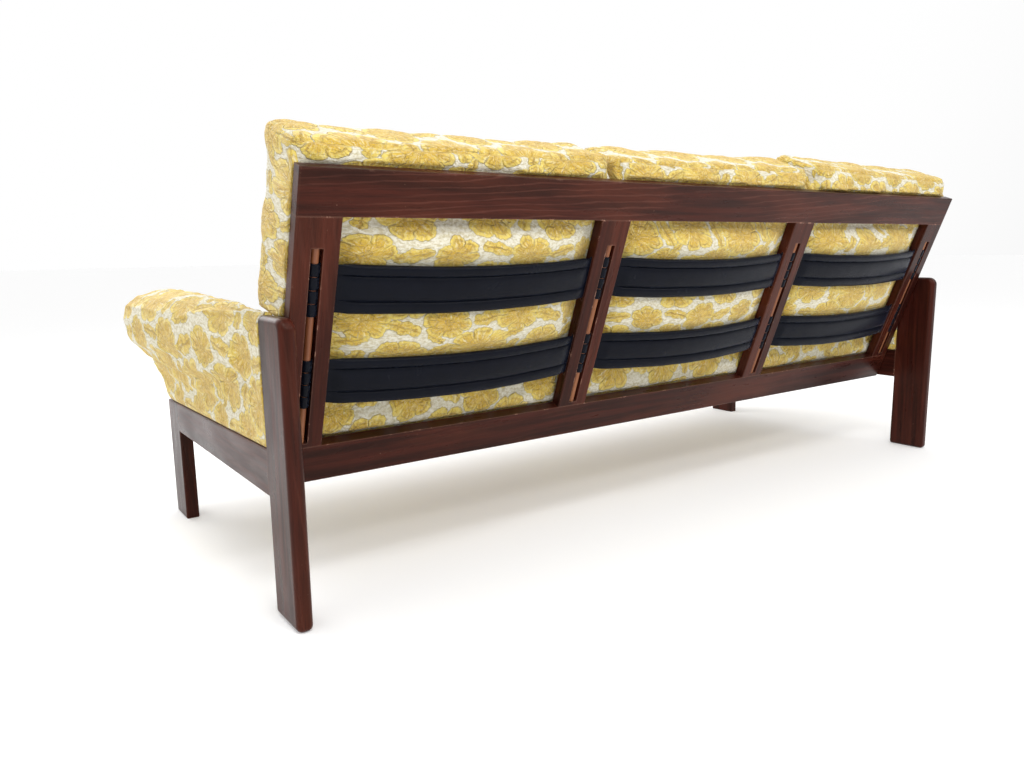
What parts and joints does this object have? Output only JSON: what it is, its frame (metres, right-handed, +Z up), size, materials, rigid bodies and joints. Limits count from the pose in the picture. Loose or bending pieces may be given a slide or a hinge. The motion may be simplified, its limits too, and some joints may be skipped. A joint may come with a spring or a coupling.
{
  "type": "sofa",
  "caption": "Sofa with board legs, a slatted back frame with padded straps, padded arms and loose upholstered seat and back cushions.",
  "frame": {"origin": "on the floor, at the centre of the sofa's box", "axes": "+X along the sofa's width, towards the sitter's left; the seat faces -Y; +Z up"},
  "size_m": [2.01, 0.828, 0.7933],
  "materials": {
    "stained_wood": "satin, dark red-brown stain on beech",
    "plain_beech": "unfinished",
    "dowel_beech": "oiled",
    "peg_beech": "unfinished",
    "upholstery_cushions": "puckered brocade, gold flowers on cream",
    "upholstery_arms": "puckered brocade, gold flowers on cream",
    "strap_leatherette": "satin leatherette",
    "webbing": "woven elastic",
    "zinc_steel": "zinc plated"
  },
  "bodies": {
    "frame": {"arm_pad_left": "upholstery_arms", "arm_pad_right": "upholstery_arms", "arm_panel_left": "plain_beech", "arm_panel_right": "plain_beech", "back_bottom_rail": "stained_wood", "back_end_stile_left": "stained_wood", "back_end_stile_right": "stained_wood", "back_frame_pegs": "peg_beech", "back_locating_pins": "zinc_steel", "back_middle_stile_left": "stained_wood", "back_middle_stile_right": "stained_wood", "back_strap_lower_centre": "strap_leatherette", "back_strap_lower_left": "strap_leatherette", "back_strap_lower_right": "strap_leatherette", "back_strap_upper_centre": "strap_leatherette", "back_strap_upper_left": "strap_leatherette", "back_strap_upper_right": "strap_leatherette", "back_top_rail": "stained_wood", "bracket_screws": "zinc_steel", "corner_brackets": "zinc_steel", "front_leg_left": "stained_wood", "front_leg_right": "stained_wood", "rear_leg_left": "stained_wood", "rear_leg_right": "stained_wood", "seat_cross_rail_left": "plain_beech", "seat_cross_rail_right": "plain_beech", "seat_front_rail": "stained_wood", "seat_rail_pegs": "peg_beech", "seat_rear_rail": "plain_beech", "seat_webbing_centre": "webbing", "seat_webbing_left": "webbing", "seat_webbing_right": "webbing", "side_frame_pegs_left": "peg_beech", "side_frame_pegs_right": "peg_beech", "side_rail_left": "stained_wood", "side_rail_right": "stained_wood", "strap_dowel_end_left": "dowel_beech", "strap_dowel_end_right": "dowel_beech", "strap_dowel_middle_left": "dowel_beech", "strap_dowel_middle_right": "dowel_beech"},
    "back_cushion_centre": {"back_cushion_centre": "upholstery_cushions"},
    "back_cushion_left": {"back_cushion_left": "upholstery_cushions"},
    "back_cushion_right": {"back_cushion_right": "upholstery_cushions"},
    "seat_cushion_centre": {"seat_cushion_centre": "upholstery_cushions"},
    "seat_cushion_left": {"seat_cushion_left": "upholstery_cushions"},
    "seat_cushion_right": {"seat_cushion_right": "upholstery_cushions"}
  },
  "joints": [
    {"name": "seat_cushion_left_slide", "type": "slide", "parent": "frame", "child": "seat_cushion_left", "axis": [0, -1, 0], "range_m": [0, 0.25]},
    {"name": "back_cushion_left_lift", "type": "slide", "parent": "frame", "child": "back_cushion_left", "axis": [0, -0.9401, 0.3409], "range_m": [0, 0.15]},
    {"name": "seat_cushion_centre_slide", "type": "slide", "parent": "frame", "child": "seat_cushion_centre", "axis": [0, -1, 0], "range_m": [0, 0.25]},
    {"name": "back_cushion_centre_lift", "type": "slide", "parent": "frame", "child": "back_cushion_centre", "axis": [0, -0.9401, 0.3409], "range_m": [0, 0.15]},
    {"name": "seat_cushion_right_slide", "type": "slide", "parent": "frame", "child": "seat_cushion_right", "axis": [0, -1, 0], "range_m": [0, 0.25]},
    {"name": "back_cushion_right_lift", "type": "slide", "parent": "frame", "child": "back_cushion_right", "axis": [0, -0.9401, 0.3409], "range_m": [0, 0.15]}
  ]
}
